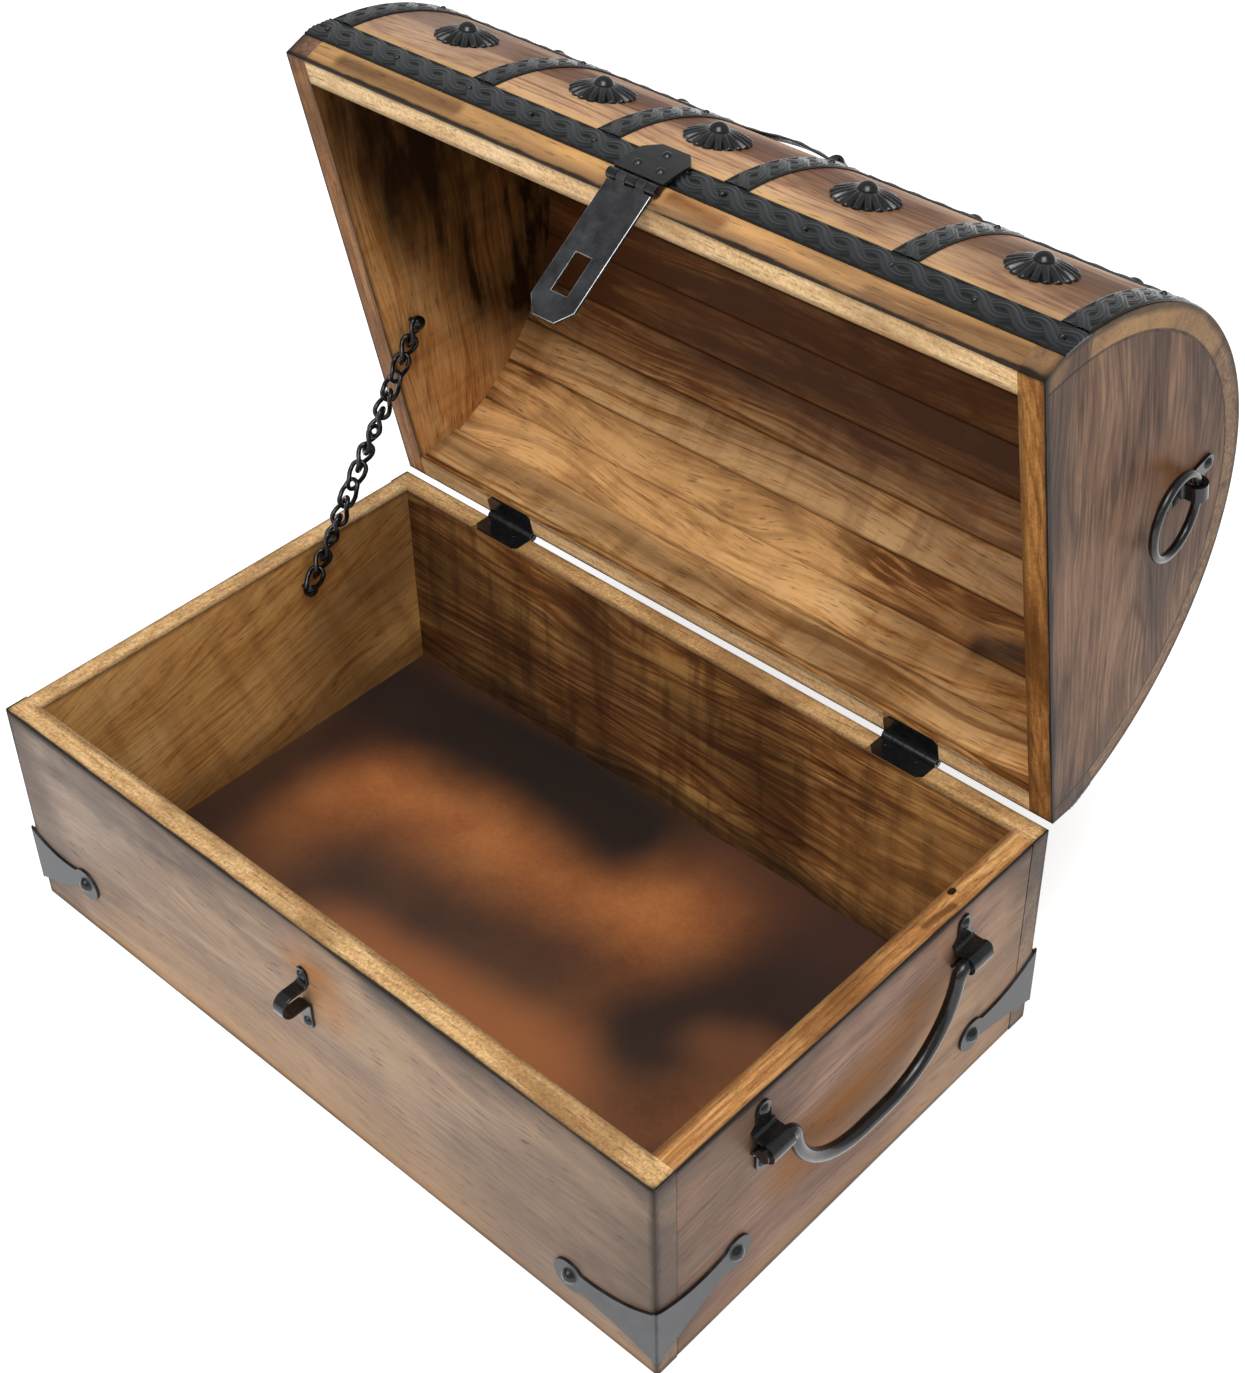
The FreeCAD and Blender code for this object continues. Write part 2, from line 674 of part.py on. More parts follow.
os.makedirs("parts", exist_ok=True)
for name, shape in sorted(nodes.items()):
    shape.exportStep("parts/%s.step" % name)
    print(name, len(shape.Solids), round(shape.Volume), shape.isValid())
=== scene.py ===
import json
from math import cos, pi, radians, sin

import bmesh
import bpy
import numpy as np
from mathutils import Matrix, Vector


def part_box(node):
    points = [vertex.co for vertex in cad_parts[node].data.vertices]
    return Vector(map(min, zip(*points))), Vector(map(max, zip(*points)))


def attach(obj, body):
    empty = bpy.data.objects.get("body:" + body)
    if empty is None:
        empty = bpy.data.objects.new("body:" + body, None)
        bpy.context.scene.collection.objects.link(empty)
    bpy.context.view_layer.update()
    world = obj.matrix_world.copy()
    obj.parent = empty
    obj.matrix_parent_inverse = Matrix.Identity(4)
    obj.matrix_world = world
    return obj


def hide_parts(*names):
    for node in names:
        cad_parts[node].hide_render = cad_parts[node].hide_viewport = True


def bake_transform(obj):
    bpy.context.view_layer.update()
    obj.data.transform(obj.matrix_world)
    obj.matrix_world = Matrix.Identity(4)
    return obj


# Treasure chest with a barrel lid, standing open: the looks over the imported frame. Metres, as the frame.
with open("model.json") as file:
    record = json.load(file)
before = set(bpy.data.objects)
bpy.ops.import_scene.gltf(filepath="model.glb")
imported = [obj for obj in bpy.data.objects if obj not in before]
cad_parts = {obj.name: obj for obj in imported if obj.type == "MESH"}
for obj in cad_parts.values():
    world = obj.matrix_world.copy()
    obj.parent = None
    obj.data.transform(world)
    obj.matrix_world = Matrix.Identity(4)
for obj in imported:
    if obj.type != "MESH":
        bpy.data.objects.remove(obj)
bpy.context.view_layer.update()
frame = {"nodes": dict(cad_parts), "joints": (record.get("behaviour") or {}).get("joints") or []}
nodes = frame["nodes"]
joints = {joint["name"]: joint for joint in frame["joints"]}
scene = bpy.context.scene
scene.view_settings.view_transform = "Standard"
mm = 0.001

# Box sizes read from the frame
box_low, box_high = (np.array(corner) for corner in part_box("base_front"))
half_length = box_high[0]
half_depth = -box_low[1]
box_height = box_high[2]
board = box_high[1] - box_low[1]

# Barrel lid: hinge line and opening from the frame, the barrel's own sizes as drawn
hinge_y, hinge_z = joints["lid_hinge"]["pos_m"][1:]
open_angle = radians(joints["lid_hinge"]["range_deg"][1])
rim_height = 119.1 * mm
barrel_rise = 5.5 * mm
barrel_axis = rim_height + barrel_rise
barrel_radius = 128 * mm
stave_inner = 117.5 * mm
rail_lean = 0.216
seam_angle = radians(10.6)
stave_count = 14
stave_step = (pi - 2 * seam_angle) / stave_count

# Embossed bands on the barrel: a flat sheet with the braid and two beads pressed up from it
band_inner = 128.06 * mm
band_thick = 1.6 * mm
band_flat = 0.3
band_step = 0.6 * mm
bead_inset = 0.9 * mm
bead_width = 0.45 * mm
bead_height = 0.45
long_braid = 29 * mm
short_braid = 25 * mm
long_band_angles = (radians(2.92), radians(10.13))
cross_band_angles = (radians(10.2), radians(169.8))
cross_band_width = 12.5 * mm
cross_band_places = np.array((-193, -104, -32, 36, 118, 193)) * mm
shoulder_width = 11 * mm
shoulder_angle = radians(48.8)
shoulder_bow = 2.1 * mm
bowed_length = 2

# Nails that pin the bands, with their angles over the barrel in degrees, and studs in rows of one angle
nail_radius = 1.5 * mm
nail_angles = (38, 72, 90, 108, 142)
lower_studs = np.array((-146, -64, 0, 76, 158)) * mm
upper_studs = np.array((-161, -83, 79.5, 157.5)) * mm
stud_rows = ((156, lower_studs), (119.5, upper_studs), (60.5, upper_studs), (24, lower_studs))
stud_radius = 14.5 * mm
stud_height = 4.2 * mm
stud_sheet = 0.7 * mm
stud_pleat = 1.5 * mm
stud_flutes = 18

# Stay chain, from the screw in the left board to the screw in the lid's left end
chain_start = np.array((-183, 40.9, 98.4)) * mm
chain_lid_place = np.array((-183, 33.2, 136.1)) * mm
chain_links = 15
link_wire = 1.2 * mm
link_turn = 3.6 * mm
link_play = 0.2 * mm
screw_shank = 1.3 * mm
screw_gap = 0.05 * mm

# Samples of the new surfaces: across a band, along a shoulder, on a nail, a stud and a link
band_samples = 36
shoulder_samples = 130
nail_rings, nail_turns = 7, 14
stud_rings, flute_turns = 14, 10
bend_samples, side_samples, wire_turns = 15, 8, 14

# Noise in the wood on straight fibres: cells to the metre along and across, turn, detail and roughness
straight_noise = {
    "bend": ((5, 15, 15), 0, 2, 0.5),  # the grain wanders within 67 mm
    "mottle": ((13, 30, 30), 0, 6, 0.65),  # 33 mm mottles
    "haze": ((9, 18, 18), 0, 4, 0.6),  # 56 mm drifts of smoke
    "brush": ((70, 10, 10), 0.2, 5, 0.6),  # 14 mm brush strokes across the grain
    "grit": ((700, 700, 700), 0, 3, 0.75),  # 1.4 mm saw marks, coarser than real ones so that they show
}

# Noise along fibres that wander: cells to the metre along and across, detail and roughness
wandering_noise = {
    "streak": ((10, 75, 75), 5, 0.6),  # 13 mm streaks
    "line": ((22, 560, 560), 5, 0.6),  # 1.8 mm fibres, coarser than real ones so that they show
    "pore": ((80, 900, 900), 5, 0.6),  # 1.1 mm pores, coarser too
    "ring": ((3, 22, 22), 1.5, 0.35),  # 45 mm swells that are folded into growth rings
    "vein": ((5, 140, 140), 4, 0.6),  # 7 mm dark veins
}

# Noise in the floor's stain and on the iron: cells to the metre
drift_cells = 8  # 125 mm swirls
tint_cells = 16  # 62 mm clouds
fleck_cells = 420  # 2.4 mm flecks
scale_cells = 140  # 7 mm patches of forge scale
dent_cells = 210  # 5 mm hammer dents

# How far the grain wanders, and how strongly its rings and the staves' differences show
wander = 22 * mm
ring_folds = 17
ring_depth = 0.17
ring_lift = 0.03
stave_contrast = 0.22

# Marks on the floor, in millimetres: start, end, core, fade, strength, colour; the first three darken it
# along the walls
floor_marks = (
    ((-190, 126, 0), (190, 126, 0), 2, 44, 0.8, "#2E1F18"),
    ((190, -116, 0), (190, 116, 0), 2, 52, 0.7, "#3A261D"),
    ((-190, -126, 0), (190, -126, 0), 2, 60, 0.7, "#3A251C"),
    ((80, -130, 0), (190, -60, 0), 10, 92, 0.92, "#2C1D18"),
    ((-150, -62, 0), (-100, -76, 0), 4, 70, 0.75, "#40281E"),
    ((-92, -26, 0), (10, -8, 0), 6, 66, 0.84, "#2B211B"),
    ((86, -3, 0), (124, 84, 0), 14, 72, 0.96, "#201612"),
    ((120, 86, 0), (178, 108, 0), 4, 56, 0.8, "#2F201A"),
    ((30, 104, 0), (120, 108, 0), 2, 46, 0.7, "#452A1F"),
    ((-178, 84, 0), (-14, 92, 0), 10, 58, 0.98, "#181310"),
    ((-172, 78, 0), (-188, -60, 0), 2, 58, 0.92, "#2A1D18"),
    ((-70, -66, 0), (58, -58, 0), 6, 46, 0.9, "#A06136"),
    ((112, 12, 0), (122, 20, 0), 2, 30, 0.5, "#8A5534"),
    ((140, -116, 0), (188, -96, 0), 4, 56, 0.75, "#2C1D18"),
)

# Camera fitted to the photograph
eye = Vector((0.5444, -0.4949, 0.79404))
view_turn, view_tilt, view_roll = radians(43.02), radians(39.14), radians(-0.965)
lens_mm = 59.18
lens_shift = (-0.01544, -0.04415)

# Studio: light of the sky and glow of the floor as shares of white, and lamps as place, size and watts
floor_reach = 6.0
floor_glow = 0.55
sky_level = 0.55
lamp_aim = Vector((0, 0.02, 0.16))
lamps = {
    "key lamp": ((0.6, -0.6, 2.2), 1.4, 29),
    "small lamp": ((0.6, -0.6, 2.0), 0.3, 3.5),
    "fill lamp": ((-0.4, -2.0, 1.5), 1.2, 15),
}

# Settings that make a Mix node mix colours
colour_mix = {"data_type": "RGBA", "out": 2}


def stand_camera():
    """Camera at the photograph's place: it looks against back, and roll turns right and up about that."""
    back = Vector((sin(view_turn) * cos(view_tilt), -cos(view_turn) * cos(view_tilt), sin(view_tilt)))
    right = Vector((cos(view_turn), sin(view_turn), 0))
    up = back.cross(right)
    right, up = (
        cos(view_roll) * right + sin(view_roll) * up,
        cos(view_roll) * up - sin(view_roll) * right,
    )
    camera = bpy.data.objects.new("camera", bpy.data.cameras.new("camera"))
    turn = Matrix((right, up, back)).transposed().to_4x4()
    camera.matrix_world = Matrix.Translation(eye) @ turn
    camera.data.lens = lens_mm
    camera.data.shift_x, camera.data.shift_y = lens_shift
    camera.data.clip_start = 0.01
    scene.collection.objects.link(camera)
    scene.camera = camera


def tone(code):
    """Linear colour of an sRGB hex code."""
    level = np.array([int(code[i : i + 2], 16) for i in (1, 3, 5)]) / 255
    linear = np.where(level <= 0.04045, level / 12.92, ((level + 0.055) / 1.055) ** 2.4)
    return (*linear.tolist(), 1.0)


def add(tree, kind, feeds=(), out=0, stops=(), **settings):
    """Adds a shader node with its settings, feeds its inputs from values or outputs, returns an output."""
    made = tree.nodes.new("ShaderNode" + kind)
    for key, value in settings.items():
        setattr(made, key, value)
    for key, value in dict(feeds).items():
        if isinstance(value, bpy.types.NodeSocket):
            tree.links.new(value, made.inputs[key])
        else:
            made.inputs[key].default_value = value
    for number, (place, code) in enumerate(stops):
        ramp = made.color_ramp.elements
        stop = ramp[number] if number < 2 else ramp.new(place)
        stop.position, stop.color = place, tone(code)
    return made.outputs[out] if made.outputs else None


def blank(name):
    """New material with an empty node tree."""
    made = bpy.data.materials.new(name)
    made.use_nodes = True
    made.node_tree.nodes.clear()
    return made, made.node_tree


def stroke(tree, at, start, end, core, fade):
    """Mask of a soft stroke, in millimetres: 1 within the core of its line, falling to 0 at the fade."""
    span = (Vector(end) - Vector(start)) * mm
    off = add(tree, "VectorMath", {0: at, 1: Vector(start) * mm}, operation="SUBTRACT")
    gain = span / span.length_squared
    share = add(tree, "VectorMath", {0: off, 1: gain}, out="Value", operation="DOT_PRODUCT")
    share = add(tree, "Math", {0: share, 1: 0}, operation="ADD", use_clamp=True)
    foot = add(tree, "VectorMath", {0: span, "Scale": share}, operation="SCALE")
    gap = add(tree, "VectorMath", {0: off, 1: foot}, out="Value", operation="DISTANCE")
    limits = {0: gap, 1: core * mm, 2: fade * mm, 3: 1, 4: 0}
    return add(tree, "MapRange", limits, interpolation_type="SMOOTHSTEP")


def wood(
    name,
    outside,
    inside,
    rim,
    ends=None,
    lid=False,
    grain=0,
    tilt=0,
    seed=0.0,
    soft=0.24,
    hard=0.13,
    coarse=0.5,
    line=3.0,
    smoke=0.5,
    brush=0.3,
    stripe=0.15,
    marks=(),
    inner_marks=(),
    rim_marks=(),
):
    """Mango wood under an aged, burnt lacquer.

    To the eye: fine fibres, broad wandering streaks and faint rings along the grain, with mottles and pores;
    a grey-brown worn outside, its grey on the front and back partly a painted sheen, a brushed and veined
    inside with dark joints between the staves, saw-rough golden rims, a black scorch line under the outer
    edge of the rim, and marks over the outside, the inside and the rim: torch marks, and painted shade,
    shadow and sheen where the lists say so. The marks are given as those of the floor are, and on the lid
    their places are those of the closed lid, from the barrel's axis.

    A palette runs from dark to light, over a range of the grain's noise that is soft wide on each side of its
    middle outside, and hard wide inside. Coarse is the share of saw marks on the rim, line the width of the
    scorch line in millimetres, smoke the strength of the halo under it, brush and stripe those of the brush
    strokes and the veins inside.
    """
    made, tree = blank(name)
    at = add(tree, "TexCoord", out="Object")
    if lid:
        turn = Matrix.Rotation(open_angle, 3, "X")
        hinge = Vector((0, hinge_y, hinge_z))
        place = hinge - turn @ hinge - Vector((0, 0, barrel_axis))
        at = add(tree, "Mapping", {"Vector": at, "Location": place, "Rotation": (open_angle, 0, 0)})
    x, y, z = add(tree, "SeparateXYZ", {0: at}).node.outputs

    # Depth under the outer surfaces: ends, walls or barrel, and rim
    reach = add(tree, "VectorMath", {0: at}, operation="ABSOLUTE")
    reach = add(tree, "VectorMath", {0: (half_length, half_depth, 0), 1: reach}, operation="SUBTRACT")
    end_depth, wall_depth, _ = add(tree, "SeparateXYZ", {0: reach}).node.outputs
    along = (x, y)[grain]
    across, thick = z, (y, x)[grain]
    if lid:
        section = add(tree, "CombineXYZ", {1: y, 2: z})
        radius = add(tree, "VectorMath", {0: section}, out="Value", operation="LENGTH")
        rim_depth = add(tree, "Math", {0: z, 1: barrel_rise}, operation="ADD")
        barrel_depth = add(tree, "Math", {0: barrel_radius, 1: radius}, operation="SUBTRACT")
        bevel_depth = add(tree, "Math", {0: rim_depth, 1: rail_lean, 2: wall_depth}, operation="MULTIPLY_ADD")
        wall_depth = add(tree, "Math", {0: barrel_depth, 1: bevel_depth}, operation="MINIMUM")
        angle = add(tree, "Math", {0: z, 1: y}, operation="ARCTAN2")
        if grain == 0:
            across = add(tree, "Math", {0: angle, 1: barrel_radius}, operation="MULTIPLY")
            thick = radius
        # Far from any foot, because only the box has a scorched one
        foot = barrel_radius
    else:
        rim_depth = add(tree, "Math", {0: box_height, 1: z}, operation="SUBTRACT")
        foot = z
    shell = add(tree, "Math", {0: end_depth, 1: wall_depth}, operation="MINIMUM")

    # Grain coordinates that wander, with an unrelated piece of timber, a shade and joints for each stave
    fibre_at = add(tree, "CombineXYZ", {0: along, 1: across, 2: thick})
    shade = 0.5
    joint = 0.5
    if lid and grain == 0:
        first = add(tree, "Math", {0: angle, 1: seam_angle}, operation="SUBTRACT")
        number = add(tree, "Math", {0: first, 1: stave_step}, operation="DIVIDE")
        joint = add(tree, "Math", {0: number, 1: 0.5}, operation="PINGPONG")
        number = add(tree, "Math", {0: number}, operation="FLOOR")
        number = add(tree, "Math", {0: number, 1: seed}, operation="ADD")
        chance = add(tree, "TexWhiteNoise", {"W": number}, out="Color", noise_dimensions="1D")
        shade = chance.node.outputs["Value"]
        fibre_at = add(tree, "VectorMath", {0: chance, 1: fibre_at}, operation="ADD")
    shift = (seed, seed, 0)
    fibre_at = add(tree, "Mapping", {"Vector": fibre_at, "Location": shift, "Rotation": (0, 0, tilt)})
    noise = {}
    for kind, (cells, turn, detail, roughness) in straight_noise.items():
        spot = add(tree, "Mapping", {"Vector": fibre_at, "Rotation": (0, 0, turn), "Scale": cells})
        settings = {"Vector": spot, "Scale": 1, "Detail": detail, "Roughness": roughness}
        noise[kind] = add(tree, "TexNoise", settings)
    bend = add(tree, "Math", {0: noise["bend"], 1: 2 * wander, 2: -wander}, operation="MULTIPLY_ADD")
    bend = add(tree, "CombineXYZ", {1: bend})
    grain_at = add(tree, "VectorMath", {0: fibre_at, 1: bend}, operation="ADD")
    for kind, (cells, detail, roughness) in wandering_noise.items():
        spot = add(tree, "Mapping", {"Vector": grain_at, "Scale": cells})
        settings = {"Vector": spot, "Scale": 1, "Detail": detail, "Roughness": roughness}
        noise[kind] = add(tree, "TexNoise", settings)

    # Figure of the grain: streaks and fibres, darkened by thin rings and lifted again by about their mean
    figure = add(tree, "Mix", {0: 0.6, 2: noise["streak"], 3: noise["line"]})
    ring = add(tree, "Math", {0: noise["ring"], 1: ring_folds}, operation="MULTIPLY")
    ring = add(tree, "Math", {0: ring, 1: 0.5}, operation="PINGPONG")
    ring = add(tree, "MapRange", {0: ring, 1: 0.0, 2: 0.2, 3: 1, 4: 0})
    ring = add(tree, "Math", {0: ring, 1: noise["line"]}, operation="MULTIPLY")
    figure = add(tree, "Math", {0: ring, 1: -ring_depth, 2: figure}, operation="MULTIPLY_ADD")
    figure = add(tree, "Math", {0: figure, 1: ring_lift}, operation="ADD")
    lifted = add(tree, "Math", {0: shade, 1: stave_contrast, 2: figure}, operation="MULTIPLY_ADD")
    lifted = add(tree, "Math", {0: lifted, 1: stave_contrast / 2}, operation="SUBTRACT")

    # Colours of the outside, the inside, the rim and the ends
    is_rim = add(tree, "MapRange", {0: rim_depth, 1: 1.0 * mm, 2: 0.4 * mm})
    is_inside = add(tree, "MapRange", {0: shell, 1: 7 * mm, 2: 9 * mm})
    soft_stops = (0.5 - soft, 0.5, 0.5 + soft)
    out_tone = add(tree, "ValToRGB", {0: lifted}, stops=list(zip(soft_stops, outside)))
    for high, strength, code in ((0.36, 0.6, outside[0]), (0.68, 0.45, outside[2])):
        share = add(tree, "MapRange", {0: noise["haze"], 1: 0.52, 2: high, 3: 0, 4: strength})
        out_tone = add(tree, "Mix", {0: share, 6: out_tone, 7: tone(code)}, **colour_mix)
    if ends:
        end_tone = add(tree, "ValToRGB", {0: figure}, stops=list(zip(soft_stops, ends)))
        is_end = add(tree, "MapRange", {0: end_depth, 1: 1.0 * mm, 2: 0.5 * mm})
        out_tone = add(tree, "Mix", {0: is_end, 6: out_tone, 7: end_tone}, **colour_mix)
    mottled = add(tree, "Mix", {0: 0.4, 2: lifted, 3: noise["mottle"]})
    in_tone = add(tree, "ValToRGB", {0: mottled}, stops=list(zip((0.49 - hard, 0.49, 0.49 + hard), inside)))
    for kind, low, high, strength in (("brush", 0.48, 0.64, brush), ("vein", 0.5, 0.63, stripe)):
        share = add(tree, "MapRange", {0: noise[kind], 1: low, 2: high, 3: 0, 4: strength})
        in_tone = add(tree, "Mix", {0: share, 6: in_tone, 7: tone(inside[0])}, **colour_mix)
    joint = add(tree, "MapRange", {0: joint, 1: 0.05, 2: 0.015, 3: 0, 4: 0.6})
    in_tone = add(tree, "Mix", {0: joint, 6: in_tone, 7: tone("#2A1608")}, **colour_mix)
    speck = add(tree, "Mix", {0: coarse, 2: figure, 3: noise["grit"]})
    rim_tone = add(tree, "ValToRGB", {0: speck}, stops=list(zip((0.34, 0.5, 0.64), rim)))
    stain = add(tree, "MapRange", {0: noise["mottle"], 1: 0.52, 2: 0.36, 3: 0, 4: 0.7})
    rim_tone = add(tree, "Mix", {0: stain, 6: rim_tone, 7: tone(rim[0])}, **colour_mix)

    # Marks on the outside, the inside and the rim: torch marks, and painted shade, shadow and sheen where the
    # lists say so
    frayed = add(tree, "Mix", {0: 0.5, 2: noise["mottle"], 3: noise["streak"]})
    frayed = add(tree, "Math", {0: frayed, 1: 3.4, 2: -0.8}, operation="MULTIPLY_ADD")
    faces = []
    for face, listed in ((out_tone, marks), (in_tone, inner_marks), (rim_tone, rim_marks)):
        for start, end, core, fade, strength, code in listed:
            share = stroke(tree, at, start, end, core, fade)
            share = add(tree, "Math", {0: share, 1: frayed}, operation="MULTIPLY")
            share = add(tree, "Math", {0: share, 1: strength}, operation="MULTIPLY", use_clamp=True)
            face = add(tree, "Mix", {0: share, 6: face, 7: tone(code)}, **colour_mix)
        faces.append(face)
    colour = add(tree, "Mix", {0: is_inside, 6: faces[0], 7: faces[1]}, **colour_mix)
    colour = add(tree, "Mix", {0: is_rim, 6: colour, 7: faces[2]}, **colour_mix)

    # Scorch: smoke under the rim and at the corners, and lines along the rim, its inner edge, corners, foot
    beside = add(tree, "Math", {0: shell, 1: 2.6}, operation="MULTIPLY")
    rim_edge = add(tree, "Math", {0: beside, 1: rim_depth}, operation="MAXIMUM")
    corner = add(tree, "Math", {0: end_depth, 1: wall_depth}, operation="MAXIMUM")
    inner_edge = add(tree, "Math", {0: board, 1: shell}, operation="SUBTRACT")
    inner_edge = add(tree, "Math", {0: inner_edge, 1: rim_depth}, operation="MAXIMUM")
    inner_edge = add(tree, "Math", {0: inner_edge}, operation="ABSOLUTE")
    ragged = add(tree, "Math", {0: noise["mottle"], 1: 7 * mm, 2: -3.5 * mm}, operation="MULTIPLY_ADD")
    drifted = add(tree, "Math", {0: noise["haze"], 1: 130 * mm, 2: -65 * mm}, operation="MULTIPLY_ADD")
    smoky_edge = add(tree, "Math", {0: rim_depth, 1: drifted}, operation="ADD")
    smoky_corner = add(tree, "Math", {0: corner, 1: drifted}, operation="ADD")
    is_outside = add(tree, "MapRange", {0: shell, 1: 2 * mm, 2: 1 * mm})
    covered = add(tree, "Math", {0: is_rim, 1: is_outside}, operation="LESS_THAN")
    for edge, wide, narrow, strength, code in (
        (smoky_edge, 30 * mm, 2 * mm, smoke, "#463C37"),
        (smoky_corner, 34 * mm, 2 * mm, 0.8 * smoke, "#463830"),
    ):
        share = add(tree, "MapRange", {0: edge, 1: wide, 2: narrow, 3: 0, 4: strength})
        share = add(tree, "Math", {0: share, 1: covered}, operation="MULTIPLY")
        colour = add(tree, "Mix", {0: share, 6: colour, 7: tone(code)}, **colour_mix)
    for edge, wide, narrow, strength, code in (
        (rim_edge, 7 * mm, 1.5 * mm, 0.55, "#3F2C20"),
        (inner_edge, 3 * mm, 0.5 * mm, 0.6, "#3A2412"),
        (corner, 3.4 * mm, 1.0 * mm, 0.75, "#2A1E17"),
        (foot, 4.5 * mm, 1.0 * mm, 0.85, "#3A2A1C"),
        (rim_edge, line * mm, 0.45 * line * mm, 0.95, "#15110E"),
    ):
        frayed_edge = add(tree, "Math", {0: edge, 1: ragged}, operation="SUBTRACT")
        share = add(tree, "MapRange", {0: frayed_edge, 1: wide, 2: narrow, 3: 0, 4: strength})
        colour = add(tree, "Mix", {0: share, 6: colour, 7: tone(code)}, **colour_mix)
    if lid:
        seam = add(tree, "Math", {0: radius, 1: stave_inner}, operation="SUBTRACT")
        seam = add(tree, "Math", {0: seam}, operation="ABSOLUTE")
        share = add(tree, "MapRange", {0: seam, 1: 0.9 * mm, 2: 0.3 * mm, 3: 0, 4: 0.8})
        on_end = add(tree, "MapRange", {0: end_depth, 1: 1.0 * mm, 2: 0.5 * mm})
        share = add(tree, "Math", {0: share, 1: on_end}, operation="MULTIPLY")
        colour = add(tree, "Mix", {0: share, 6: colour, 7: tone("#21150E")}, **colour_mix)
    pores = add(tree, "MapRange", {0: noise["pore"], 1: 0.58, 2: 0.67, 3: 0, 4: 0.6})
    colour = add(tree, "Mix", {0: pores, 6: colour, 7: tone("#3C2A1F")}, **colour_mix)

    rough = add(tree, "MapRange", {0: figure, 1: 0.3, 2: 0.7, 3: 0.56, 4: 0.4})
    relief = add(tree, "Mix", {0: is_rim, 2: noise["line"], 3: noise["grit"]})
    bump = add(tree, "Bump", {"Height": relief, "Strength": 0.35, "Distance": 0.25 * mm})
    shader = add(tree, "BsdfPrincipled", {"Base Color": colour, "Roughness": rough, "Normal": bump})
    shader.node.inputs["Specular IOR Level"].default_value = 0.15
    add(tree, "OutputMaterial", {"Surface": shader})
    return made


def burnt_floor(name):
    """Thin board stained and flamed: a smooth tan-brown ground, darker along the walls and in drifts."""
    made, tree = blank(name)
    at = add(tree, "TexCoord", out="Object")
    settings = {"Vector": at, "Scale": drift_cells, "Detail": 3, "Roughness": 0.45}
    drift = add(tree, "TexNoise", settings, out="Color")
    drift = add(tree, "VectorMath", {0: drift, 1: (0.5, 0.5, 0.5)}, operation="SUBTRACT")
    swept = add(tree, "VectorMath", {0: drift, 1: (42 * mm, 42 * mm, 0), 2: at}, operation="MULTIPLY_ADD")
    swept = add(tree, "VectorMath", {0: swept, 1: (1, 1, 0)}, operation="MULTIPLY")
    flecks = add(tree, "TexNoise", {"Vector": at, "Scale": fleck_cells, "Detail": 4, "Roughness": 0.7})
    tint = add(tree, "TexNoise", {"Vector": at, "Scale": tint_cells, "Detail": 5, "Roughness": 0.6})
    tint = add(tree, "Mix", {0: 0.25, 2: tint, 3: flecks})
    colour = add(tree, "ValToRGB", {0: tint}, stops=[(0.36, "#84491F"), (0.5, "#A05F31"), (0.64, "#B4713D")])
    for start, end, core, fade, strength, code in floor_marks:
        share = stroke(tree, swept, start, end, core, fade)
        share = add(tree, "Math", {0: share, 1: strength}, operation="MULTIPLY")
        colour = add(tree, "Mix", {0: share, 6: colour, 7: tone(code)}, **colour_mix)
    bump = add(tree, "Bump", {"Height": flecks, "Strength": 0.15, "Distance": 0.15 * mm})
    shader = add(tree, "BsdfPrincipled", {"Base Color": colour, "Roughness": 0.5, "Normal": bump})
    add(tree, "OutputMaterial", {"Surface": shader})
    return made


def iron(name, low, high, metallic, smooth, coarse, dent, coat=0.0, ridge=None):
    """Wrought iron: dark, grey gloss broken by hammer dents and scale, ridges paler by wear and painted
    highlight.
    """
    made, tree = blank(name)
    at = add(tree, "TexCoord", out="Object")
    scale_noise = add(tree, "TexNoise", {"Vector": at, "Scale": scale_cells, "Detail": 5, "Roughness": 0.65})
    dents = add(tree, "TexNoise", {"Vector": at, "Scale": dent_cells, "Detail": 2, "Roughness": 0.5})
    colour = add(tree, "ValToRGB", {0: scale_noise}, stops=[(0.35, low), (0.68, high)])
    # Paler on raised relief: wear on the ridges, with a painted highlight
    if ridge:
        height = add(tree, "Attribute", out="Fac", attribute_name="relief")
        share = add(tree, "MapRange", {0: height, 1: 0.3, 2: 0.95, 3: 0, 4: 0.9})
        colour = add(tree, "Mix", {0: share, 6: colour, 7: tone(ridge)}, **colour_mix)
    rough = add(tree, "MapRange", {0: scale_noise, 1: 0.3, 2: 0.7, 3: smooth, 4: coarse})
    bump = add(tree, "Bump", {"Height": dents, "Strength": 0.5, "Distance": dent})
    settings = {"Base Color": colour, "Metallic": metallic, "Roughness": rough, "Normal": bump}
    shader = add(tree, "BsdfPrincipled", settings)
    shader.node.inputs["Coat Weight"].default_value = coat
    shader.node.inputs["Coat Roughness"].default_value = 0.08
    add(tree, "OutputMaterial", {"Surface": shader})
    return made


def paint(material, *names):
    """Gives CAD nodes a material."""
    for name in names:
        nodes[name].material_slots[0].material = material


def set_out(name, mesh, body, replaced):
    """Object with a finished mesh: it rides on a body if one is given, and may stand for CAD nodes."""
    piece = bpy.data.objects.new(name, mesh)
    scene.collection.objects.link(piece)
    if body:
        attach(piece, body)
    if replaced:
        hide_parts(*replaced)
    return piece


